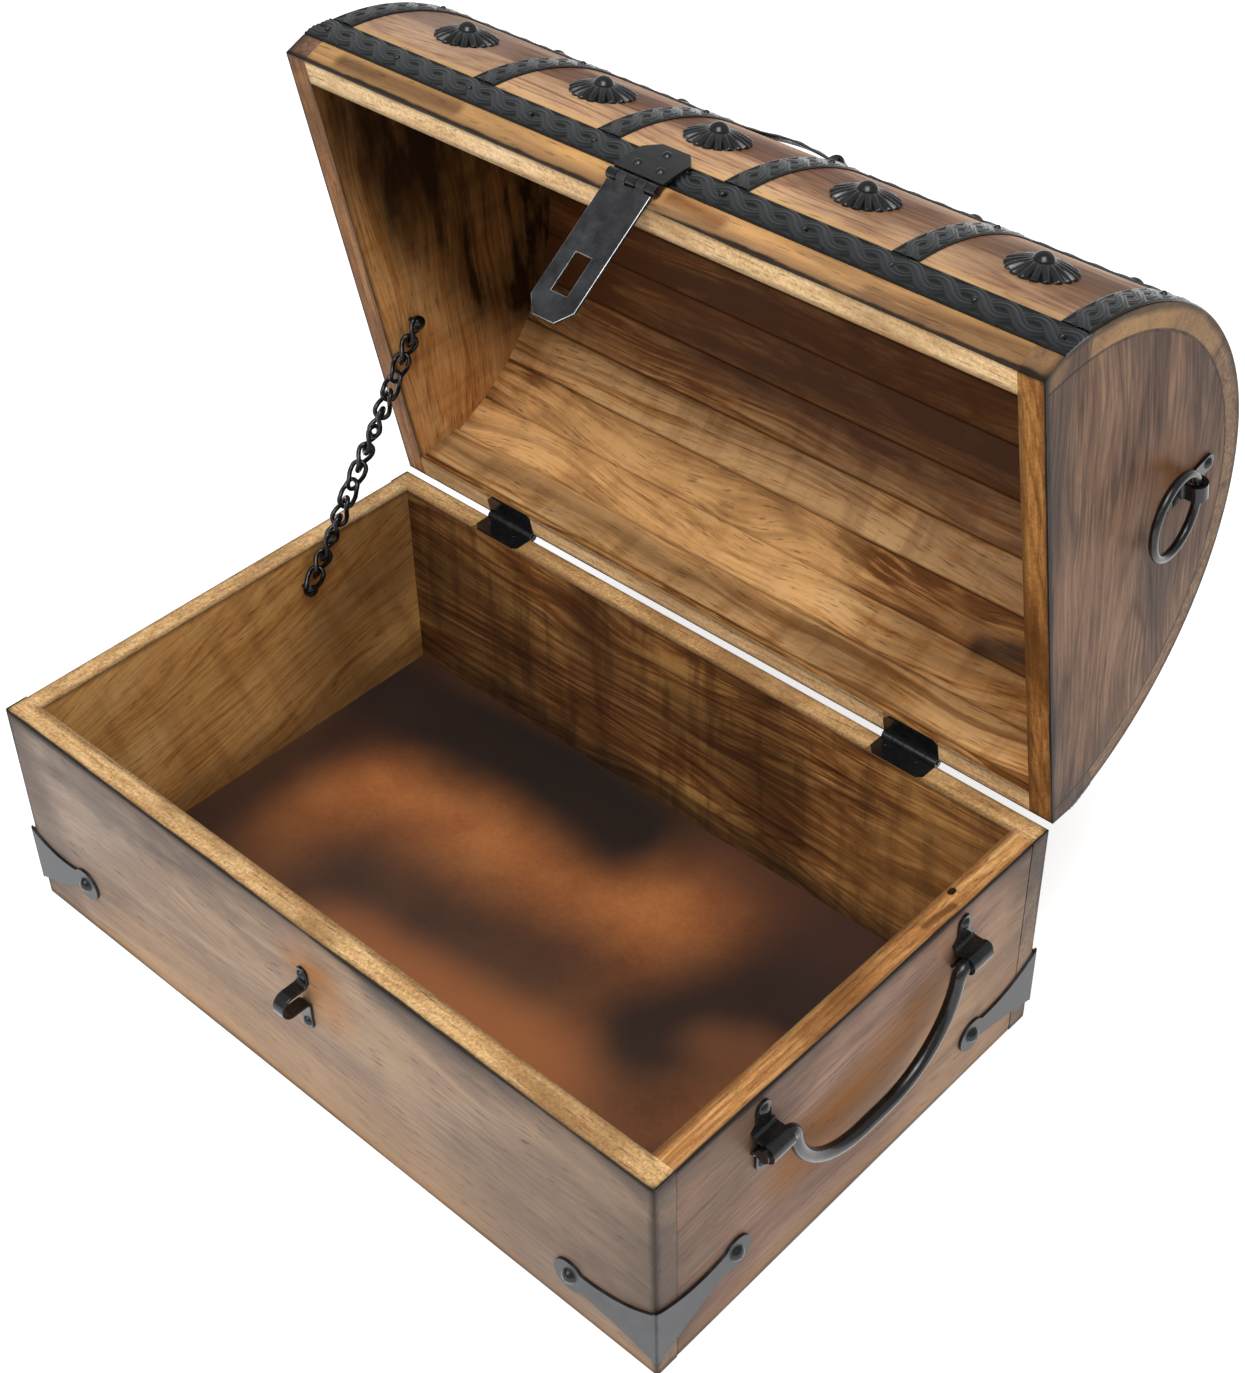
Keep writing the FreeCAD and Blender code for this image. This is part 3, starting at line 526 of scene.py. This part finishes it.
def skin(name, grid, body, material, replaced=(), ring=False, sharp=40, relief=None):
    """Piece over points[copy, along, around], with the relief of each kept for its material.

    Quads join neighbours. Around closes on itself, and along closes too for a ring or gets a flat cap at
    each end.
    """
    copies, along, around, _ = grid.shape
    here = np.arange(copies * along * around).reshape(copies, along, around)
    beside = np.roll(here, -1, axis=2)
    steps = slice(None) if ring else slice(0, -1)
    ahead, ahead_beside = np.roll(here, -1, axis=1), np.roll(beside, -1, axis=1)
    quads = np.stack([here, beside, ahead_beside, ahead], axis=-1)[:, steps]
    faces = quads.reshape(-1, 4).tolist()
    if not ring:
        faces += here[:, 0, ::-1].tolist() + here[:, -1].tolist()
    mesh = bpy.data.meshes.new(name)
    mesh.from_pydata(grid.reshape(-1, 3).tolist(), [], faces)
    form = bmesh.new()
    form.from_mesh(mesh)
    bmesh.ops.recalc_face_normals(form, faces=form.faces)
    form.to_mesh(mesh)
    form.free()
    mesh.shade_smooth()
    mesh.set_sharp_from_angle(angle=radians(sharp))
    mesh.materials.append(material)
    if relief is not None:
        mesh.attributes.new("relief", "FLOAT", "POINT").data.foreach_set("value", relief.ravel())
    return set_out(name, mesh, body, replaced)


def eased(name, body, materials, width=0.3 * mm, plain=0):
    """Piece like a CAD node with its sharp edges eased by a narrow bevel.

    The bevel has the second material, apart from faces whose centre lies within the plain height of the top.
    """
    form = bmesh.new()
    form.from_mesh(nodes[name].data)
    bmesh.ops.remove_doubles(form, verts=form.verts, dist=0.001 * mm)
    bmesh.ops.dissolve_limit(form, angle_limit=radians(0.4), verts=form.verts, edges=form.edges)
    hard = [edge for edge in form.edges if edge.is_manifold and edge.calc_face_angle() > radians(35)]
    bmesh.ops.bevel(
        form, geom=hard, offset=width, segments=2, profile=0.5, affect="EDGES", clamp_overlap=True, material=1
    )
    top = max(corner.co.z for corner in form.verts)
    for face in form.faces:
        if face.calc_center_median().z > top - plain:
            face.material_index = 0
    mesh = bpy.data.meshes.new("eased_" + name)
    form.to_mesh(mesh)
    form.free()
    mesh.shade_smooth()
    mesh.set_sharp_from_angle(angle=radians(20))
    for material in materials:
        mesh.materials.append(material)
    set_out("eased_" + name, mesh, body, (name,))


def opened(points):
    """Points of the closed lid, turned back with it about the hinge line by the opening."""
    x, y, z = np.moveaxis(points, -1, 0)
    y, z = y - hinge_y, z - hinge_z
    turned_y = hinge_y + y * cos(open_angle) + z * sin(open_angle)
    turned_z = hinge_z - y * sin(open_angle) + z * cos(open_angle)
    return np.stack([x, turned_y, turned_z], axis=-1)


def on_barrel(x, angle, radius):
    """Points of the open lid: x along it, angle from the back over the top, radius from the barrel's axis.

    The closed point is (x, radius * cos(angle), barrel axis + radius * sin(angle)).
    """
    closed = np.broadcast_arrays(x, radius * np.cos(angle), radius * np.sin(angle) + barrel_axis)
    return opened(np.stack(closed, axis=-1))


def braid(u, v, width, period):
    """Height, 0 to 1, of a two-strand twist.

    Each strand follows a sine across the band, half a period apart. Its section is a half circle with fine
    lines along it, and it lifts where it climbs, so that the strands pass over and under each other.
    """
    swing, strand = 0.26 * width, 0.2 * width
    height = np.zeros(np.broadcast_shapes(u.shape, v.shape))
    for start in (0, pi):
        phase = 2 * pi * u / period + start
        slope = 2 * pi * swing / period * np.cos(phase)
        off = (v - swing * np.sin(phase)) / np.sqrt(1 + slope**2) / strand
        arch = np.sqrt(np.clip(1 - off**2, 0, None))
        lines = 0.8 + 0.2 * np.cos(3 * pi * off)
        height = np.maximum(height, arch * lines * (0.72 + 0.28 * np.cos(phase)))
    return height


def band_section(u, width, period):
    """Offsets across, heights and relief of an embossed band, for each step u along it.

    Over the top the sheet carries the braid and a low bead, a bell curve, along both edges. Two points below
    close it.
    """
    v = np.linspace(-width / 2, width / 2, band_samples)
    bead = bead_height * np.exp(-(((np.abs(v) - width / 2 + bead_inset) / bead_width) ** 2))
    pressed = np.maximum(braid(u[:, None], v, width, period), bead)
    height = band_thick * (band_flat + (1 - band_flat) * pressed)
    across = np.broadcast_to(np.append(v, (width / 2, -width / 2)), (len(u), len(v) + 2))
    return across, np.pad(height, ((0, 0), (0, 2))), np.pad(pressed, ((0, 0), (0, 2)))


def lengthwise_band(name, angles, material):
    """Embossed band along a lid rail, from end to end, between two angles of the barrel."""
    middle = sum(angles) / 2
    width = abs(angles[1] - angles[0]) * barrel_radius
    u = np.arange(-half_length, half_length + band_step / 2, band_step)
    u[-1] = half_length
    across, height, relief = band_section(u, width, long_braid)
    points = on_barrel(u[:, None], middle + across / barrel_radius, band_inner + height)
    skin(name, points[None], "lid", material, (name,), relief=relief)


def crossing_band(number, place, material):
    """Embossed band over the barrel, from the back rail to the front rail."""
    low, high = cross_band_angles
    u = np.arange(low, high, band_step / barrel_radius)
    u[-1] = high
    across, height, relief = band_section(u * barrel_radius, cross_band_width, short_braid)
    points = on_barrel(place + across, u[:, None], band_inner + height)
    name = f"transverse_band_{number}"
    skin(name, points[None], "lid", material, (name,), relief=relief)


def shoulder_band(name, angle, bow, material):
    """Embossed bands along a shoulder of the barrel, a length between each two crossing bands.

    The middle length is bowed off the wood by the square of a sine along it.
    """
    grids, reliefs = [], []
    starts = cross_band_places[:-1] + cross_band_width / 2
    ends = cross_band_places[1:] - cross_band_width / 2
    for number, (start, end) in enumerate(zip(starts, ends)):
        u = np.linspace(start, end, shoulder_samples)
        across, height, relief = band_section(u, shoulder_width, short_braid)
        lift = bow * np.sin(pi * (u - start) / (end - start)) ** 2 * (number == bowed_length)
        radius = band_inner + height + lift[:, None]
        grids.append(on_barrel(u[:, None], angle + across / barrel_radius, radius))
        reliefs.append(relief)
    skin(name, np.stack(grids), "lid", material, relief=np.stack(reliefs))


def nail_heads(material):
    """Small domes that pin the bands where they meet and between: quarter ellipses turned about an axis."""
    between = (cross_band_places[:-1] + cross_band_places[1:]) / 2
    ends = np.append(cross_band_places, between)
    middle = sum(long_band_angles) / 2
    spots = [(x, angle) for x in ends for angle in (middle, pi - middle)]
    spots += [(x, radians(angle)) for x in cross_band_places for angle in nail_angles]
    spots = np.array(spots)[:, :, None, None]
    rise = np.linspace(0, 0.47 * pi, nail_rings)[:, None]
    turn = np.linspace(0, 2 * pi, nail_turns, endpoint=False)
    x = spots[:, 0] + nail_radius * np.cos(rise) * np.cos(turn)
    angle = spots[:, 1] + nail_radius * np.cos(rise) * np.sin(turn) / barrel_radius
    height = band_inner + band_thick * (0.35 + np.sin(rise))
    points = on_barrel(x, angle, height)
    skin("band_nails", points, "lid", material)


def fluted_rosettes(material):
    """Pleated iron washers under the nails.

    In polar terms the height falls from the crown to the rim as a power of the radius, the pleats add the
    size of a sine that grows outwards, and the rim is scalloped with them. The sheet's underside lies a
    constant step below.
    """
    turn = np.linspace(0, 2 * pi, flute_turns * stud_flutes, endpoint=False)[:, None]
    pleat = np.abs(np.sin(turn * stud_flutes / 2))
    reach = np.linspace(0.2, 1, stud_rings)
    reach = np.concatenate([reach, reach[::-1]])
    under = np.repeat([0, 1], stud_rings)
    fall = np.clip((reach - 0.3) / 0.7, 0, 1)
    out = stud_radius * reach * (1 - 0.09 * (1 - pleat) * fall)
    crown = stud_height * (1 - 0.86 * fall**1.5)
    rise = np.clip(crown + stud_pleat * (pleat - 0.55) * fall - under * stud_sheet, 0.02 * mm, None)
    spots = np.array([(x, radians(row)) for row, places in stud_rows for x in places])[:, :, None, None]
    x = spots[:, 0] + out * np.cos(turn)
    angle = spots[:, 1] + out * np.sin(turn) / barrel_radius
    points = on_barrel(x, angle, barrel_radius + rise)
    replaced = ("stud_rosettes",)
    skin("fluted_rosettes", points, "lid", material, replaced, ring=True, sharp=60)


def stay_chain(material):
    """Curb chain, taut between its two screws with the lid open.

    The centre line of a link is an oval of two straights and two half circles. It is twisted along its
    straights, so that both its ends lie square to the neighbours', and the whole chain winds by a constant
    turn per link, which leaves the first and the last link square to their screws.
    """
    end = opened(chain_lid_place)
    length = np.linalg.norm(end - chain_start)
    line = (end - chain_start) / length
    pitch = (length + 2 * (screw_shank + screw_gap) - 2 * link_wire - link_play) / chain_links
    inner = pitch + 2 * link_wire + link_play
    run = inner / 2 + link_wire - link_turn
    first = inner / 2 - screw_shank - screw_gap

    # Oval in its own plane: s along the chain, w across
    bend = np.linspace(-pi / 2, pi / 2, bend_samples)
    side = np.linspace(-1, 1, side_samples)[1:-1] * run
    s = np.concatenate([run + link_turn * np.cos(bend), -side, -run - link_turn * np.cos(bend), side])
    straight = np.full(len(side), link_turn)
    w = np.concatenate([link_turn * np.sin(bend), straight, -link_turn * np.sin(bend), -straight])

    # Twist along the link, and the slow turn of the whole chain
    share = np.clip(s / (1.15 * run), -1, 1)
    number = np.arange(chain_links)[:, None]
    wind = (pi / 2 - 3 * pi) / chain_links
    turn = (pi / 4 + wind / 2) * (1 + share * (1.5 - 0.5 * share**2)) + number * wind
    flat = np.cross(line, (1, 0, 0))
    across = np.cos(turn)[..., None] * flat + np.sin(turn)[..., None] * np.array((1, 0, 0))
    centre = chain_start + (first + pitch * number)[..., None] * line
    path = centre + s[:, None] * line + w[:, None] * across

    # Round wire about that path
    ahead = np.roll(path, -1, axis=1) - np.roll(path, 1, axis=1)
    ahead /= np.linalg.norm(ahead, axis=-1, keepdims=True)
    level = np.cross(line, across)
    level -= ahead * (level * ahead).sum(axis=-1, keepdims=True)
    level /= np.linalg.norm(level, axis=-1, keepdims=True)
    upright = np.cross(ahead, level)
    around = np.linspace(0, 2 * pi, wire_turns, endpoint=False)[:, None]
    wire = np.cos(around) * level[:, :, None] + np.sin(around) * upright[:, :, None]
    points = path[:, :, None] + link_wire * wire
    replaced = ("stay_chain_lower", "stay_chain_upper")
    piece = skin("stay_chain", points, None, material, replaced, ring=True, sharp=60)
    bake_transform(piece)


def light_and_floor():
    """Pale floor that keeps a soft shadow, a white surround, two soft lamps and a small one for gloss."""
    mesh = bpy.data.meshes.new("floor")
    corners = np.array([(-1, -1, 0), (1, -1, 0), (1, 1, 0), (-1, 1, 0)]) * floor_reach
    mesh.from_pydata(corners.tolist(), [], [(0, 1, 2, 3)])
    floor = bpy.data.objects.new("floor", mesh)
    scene.collection.objects.link(floor)
    paper, tree = blank("white paper floor")
    path = add(tree, "LightPath", out="Is Camera Ray")
    seen = add(tree, "Math", {0: path, 1: path.node.outputs["Is Glossy Ray"]}, operation="MAXIMUM")
    seen = add(tree, "Math", {0: seen, 1: path.node.outputs["Is Transmission Ray"]}, operation="MAXIMUM")
    glow = add(tree, "Math", {0: seen, 1: floor_glow}, operation="MULTIPLY")
    sheet = add(tree, "BsdfDiffuse", {"Color": tone("#E8E8E8")})
    white = add(tree, "Emission", {"Strength": glow})
    both = add(tree, "AddShader", {0: sheet, 1: white})
    add(tree, "OutputMaterial", {"Surface": both})
    mesh.materials.append(paper)

    world = bpy.data.worlds.new("white studio")
    world.use_nodes = True
    world.node_tree.nodes.clear()
    tree = world.node_tree
    path = add(tree, "LightPath", out="Is Camera Ray")
    seen = add(tree, "Math", {0: path, 1: path.node.outputs["Is Transmission Ray"]}, operation="MAXIMUM")
    level = add(tree, "MapRange", {0: seen, 3: sky_level, 4: 1.0})
    sky = add(tree, "Background", {"Color": (1, 1, 1, 1), "Strength": level})
    add(tree, "OutputWorld", {"Surface": sky})
    scene.world = world

    for name, (place, size, watts) in lamps.items():
        lamp = bpy.data.lights.new(name, "AREA")
        lamp.size, lamp.energy = size, watts
        stand = bpy.data.objects.new(name, lamp)
        stand.location = place
        stand.rotation_euler = (lamp_aim - Vector(place)).to_track_quat("-Z", "Y").to_euler()
        scene.collection.objects.link(stand)


stand_camera()
light_and_floor()

# Wood of the box
golden_rim = ("#85603A", "#C99E69", "#EACB97")
side_rim = ("#6A4222", "#B27C48", "#DAAC70")
# Outside of the front and back: grey-brown lacquer, its grey partly a painted sheen
box_outside = ("#65564D", "#917866", "#B69A78")
side_outside = ("#5F453A", "#94725F", "#B99478")
front_wood = wood(
    "lacquered mango front",
    box_outside,
    ("#3A2818", "#7E5A36", "#A88250"),
    golden_rim,
    seed=1.7,
    soft=0.34,
    marks=(
        # A pale grey patch: painted sheen on the lacquer
        ((-200, -126, 60), (-150, -126, 100), 12, 60, 0.5, "#A8978A"),
        ((-120, -126, 12), (100, -126, 12), 4, 40, 0.55, "#B59069"),
        ((-200, -126, 1), (200, -126, 1), 2, 9, 0.6, "#A9773F"),
        ((130, -126, 30), (200, -126, 90), 16, 74, 0.6, "#6A574A"),
        ((6, -126, 94), (16, -126, 82), 4, 26, 0.7, "#A86F38"),
        ((50, -126, 116), (200, -126, 114), 3, 20, 0.65, "#453B36"),
        ((-200, -126, 116), (-190, -126, 70), 3, 22, 0.5, "#54483F"),
    ),
)
back_wood = wood(
    "lacquered mango back",
    box_outside,
    ("#38200F", "#7E502A", "#BE8D52"),
    golden_rim,
    seed=3.1,
    hard=0.09,
    brush=0.6,
    stripe=0.5,
    inner_marks=(
        # Dark at the left corner: painted shade
        ((-180, 113, 80), (-120, 113, 40), 12, 80, 0.68, "#301E13"),
        ((-60, 113, 110), (-40, 113, 20), 5, 40, 0.65, "#3A2114"),
        ((50, 113, 110), (60, 113, 30), 3, 34, 0.6, "#34200F"),
        ((0, 113, 70), (50, 113, 50), 8, 50, 0.55, "#2E1A0C"),
        ((120, 113, 40), (180, 113, 80), 10, 60, 0.36, "#A87440"),
        ((-190, 113, 10), (190, 113, 10), 2, 18, 0.7, "#24160E"),
    ),
)
left_wood = wood(
    "lacquered mango left",
    side_outside,
    ("#855628", "#D29A58", "#E6B876"),
    golden_rim,
    grain=1,
    tilt=radians(-14),
    seed=4.2,
    inner_marks=(
        # Dark towards the back corner: painted shade
        ((-188, 60, 50), (-188, 100, 90), 6, 60, 0.6, "#4A2C18"),
        ((-188, -110, 10), (-188, 110, 10), 2, 26, 0.6, "#4A2C18"),
    ),
)
right_wood = wood(
    "lacquered mango right",
    side_outside,
    ("#3A2818", "#7E5A36", "#A88250"),
    side_rim,
    grain=1,
    seed=6.4,
    soft=0.3,
    coarse=0.15,
    smoke=0.6,
    marks=(
        # Along the handle: a burn mark with the handle's painted shadow
        ((200, -40, 56), (200, 50, 74), 8, 28, 0.95, "#94602A"),
        ((200, -125, 2), (200, 125, 2), 2, 14, 0.5, "#A27C50"),
        ((200, 70, 30), (200, 120, 70), 12, 60, 0.65, "#C29E7C"),
        ((200, -120, 30), (200, -80, 100), 10, 50, 0.5, "#4A382E"),
    ),
    rim_marks=(
        ((190.5, 67.5, 118.3), (190.5, 69, 118.3), 1, 2, 1.4, "#1C110A"),
        ((194, 45, 118.3), (196, 62, 118.3), 0.6, 3, 0.8, "#5A3216"),
    ),
)

# Wood of the lid
lid_rim = ("#A47D54", "#EAC28D", "#FBE4B8")
lid_outside = ("#4E3223", "#956B4F", "#C8A07A")
lid_inside = ("#724219", "#D39858", "#F2C084")
end_outside = ("#3B2518", "#6B4B36", "#957054")
end_rim = ("#52300F", "#946030", "#BC8A4C")
stave_wood = wood(
    "lacquered mango staves",
    lid_outside,
    lid_inside,
    lid_rim,
    ends=("#573E2C", "#856548", "#A88560"),
    lid=True,
    seed=7.1,
    soft=0.17,
    hard=0.065,
    line=2.0,
    smoke=0.2,
    brush=0.36,
    stripe=0.7,
    marks=(
        ((-200, -127, 1), (200, -127, 1), 5, 9, 0.82, "#C8985E"),
        ((-200, -112, 60), (200, -112, 60), 4, 24, 0.7, "#5A3420"),
        # A pale grey patch at the left end: painted sheen on the lacquer
        ((-190, -117, 50), (-150, -117, 50), 10, 50, 0.45, "#A88F7E"),
        ((150, -117, 50), (190, -117, 50), 10, 50, 0.45, "#4E3727"),
        ((-200, -125.5, 25), (200, -125.5, 25), 1, 4, 0.7, "#C9A06C"),
        ((200, -122, 10), (200, -100, 70), 7, 12, 0.75, "#BC925F"),
        ((200, -100, 70), (200, -65, 103), 7, 12, 0.6, "#B08658"),
        ((-170, -128, 1), (-100, -128, 2), 1, 6, 0.7, "#4A2A14"),
        ((20, -128, 3), (45, -128, 1), 1, 6, 0.8, "#6A3A16"),
        ((120, -128, -1), (190, -128, 2), 1, 7, 0.7, "#4A2A14"),
    ),
    inner_marks=(
        ((-150, 112, 36), (20, 110, 42), 10, 46, 0.6, "#EBB475"),
        ((110, 112, 36), (200, 100, 62), 16, 70, 0.62, "#6E441E"),
        # The next three, over the crest: painted shade that darkens the inside towards the front, with burn
        ((-200, 0, 117), (200, 0, 117), 72, 126, 0.86, "#5C2F08"),
        ((-200, 20, 115), (120, 5, 117), 46, 84, 1.05, "#4B2A11"),
        ((120, 5, 117), (200, 20, 116), 30, 76, 0.36, "#422410"),
        ((-200, 117, 8), (100, 117, 8), 5, 17, 0.55, "#4A2C14"),
        # Along the front: painted shade on the inside, with burn
        ((-200, -115, 30), (200, -115, 30), 46, 90, 0.9, "#271509"),
        ((125, 108, 47), (155, 105, 53), 1, 9, 0.9, "#2A180A"),
        ((155, 106, 51), (185, 107, 48), 2, 11, 0.9, "#2A180A"),
    ),
)
end_wood = wood(
    "lacquered mango lid end",
    end_outside,
    lid_inside,
    end_rim,
    lid=True,
    grain=1,
    tilt=radians(3),
    seed=9.3,
    soft=0.14,
    coarse=0.25,
    marks=(
        ((200, -20, 75), (200, 0, 85), 6, 28, 0.6, "#8A5C34"),
        ((188, -127, 0), (200, -127, 0), 7, 12, 0.9, "#B98A55"),
    ),
    inner_marks=(
        # Darker towards the staves: painted shade in the corner
        ((-190, -100, 40), (-190, 30, 100), 36, 88, 0.95, "#2A1806"),
        ((-190, -80, 20), (-190, -20, 40), 10, 40, 0.6, "#2E1C10"),
    ),
)

# Floor board and kinds of iron
floor_wood = burnt_floor("flamed floor board")
black_iron = iron(
    "blackened iron", "#101112", "#202123", metallic=0.5, smooth=0.16, coarse=0.32, dent=0.08 * mm, coat=0.3
)
strap_iron = iron(
    "satin strap iron", "#36383A", "#4C4E51", metallic=0.9, smooth=0.28, coarse=0.4, dent=0.03 * mm
)
worn_iron = iron(
    "worn steel strap", "#333335", "#47484A", metallic=0.85, smooth=0.34, coarse=0.48, dent=0.02 * mm
)
bright_steel = iron(
    "bright worn edge", "#7C7E80", "#BFC1C3", metallic=1.0, smooth=0.25, coarse=0.4, dent=0.02 * mm
)
pressed_iron = iron(
    "pressed band iron",
    "#121314",
    "#222426",
    metallic=0.7,
    smooth=0.22,
    coarse=0.34,
    dent=0.03 * mm,
    coat=0.25,
    ridge="#3E4145",
)

# Finish of the CAD nodes
iron_slots = {"black_iron": black_iron, "worn_iron": worn_iron, "embossed_iron": pressed_iron}
for name, node in nodes.items():
    for slot, material in iron_slots.items():
        if node.material_slots[0].material.name.startswith(slot):
            paint(material, name)
paint(front_wood, "base_front")
paint(back_wood, "base_back")
paint(left_wood, "base_left")
paint(right_wood, "base_right")
paint(floor_wood, "base_bottom")
staves = [f"lid_stave_{number:02d}" for number in range(1, stave_count + 1)]
paint(stave_wood, "lid_front_rail", "lid_back_rail", *staves)
paint(end_wood, "lid_end_left", "lid_end_right")
paint(black_iron, "ring_left", "ring_right")

# Pieces that stand for CAD nodes, and the trim that is only here
for corner in ("front_left", "front_right", "back_left", "back_right"):
    eased(f"corner_strap_{corner}", "base", [strap_iron, strap_iron])
eased("hasp_strap", "hasp_strap", [worn_iron, bright_steel], 0.25 * mm, 9 * mm)
eased("hasp_plate", "lid", [black_iron, black_iron])
eased("hasp_staple", "base", [black_iron, black_iron])
front_angles = tuple(pi - angle for angle in reversed(long_band_angles))
lengthwise_band("front_band", front_angles, pressed_iron)
lengthwise_band("back_band", long_band_angles, pressed_iron)
for number, place in enumerate(cross_band_places, start=1):
    crossing_band(number, place, pressed_iron)
shoulder_band("shoulder_band_front", pi - shoulder_angle, shoulder_bow, pressed_iron)
shoulder_band("shoulder_band_back", shoulder_angle, 0, pressed_iron)
nail_heads(black_iron)
fluted_rosettes(black_iron)
stay_chain(black_iron)
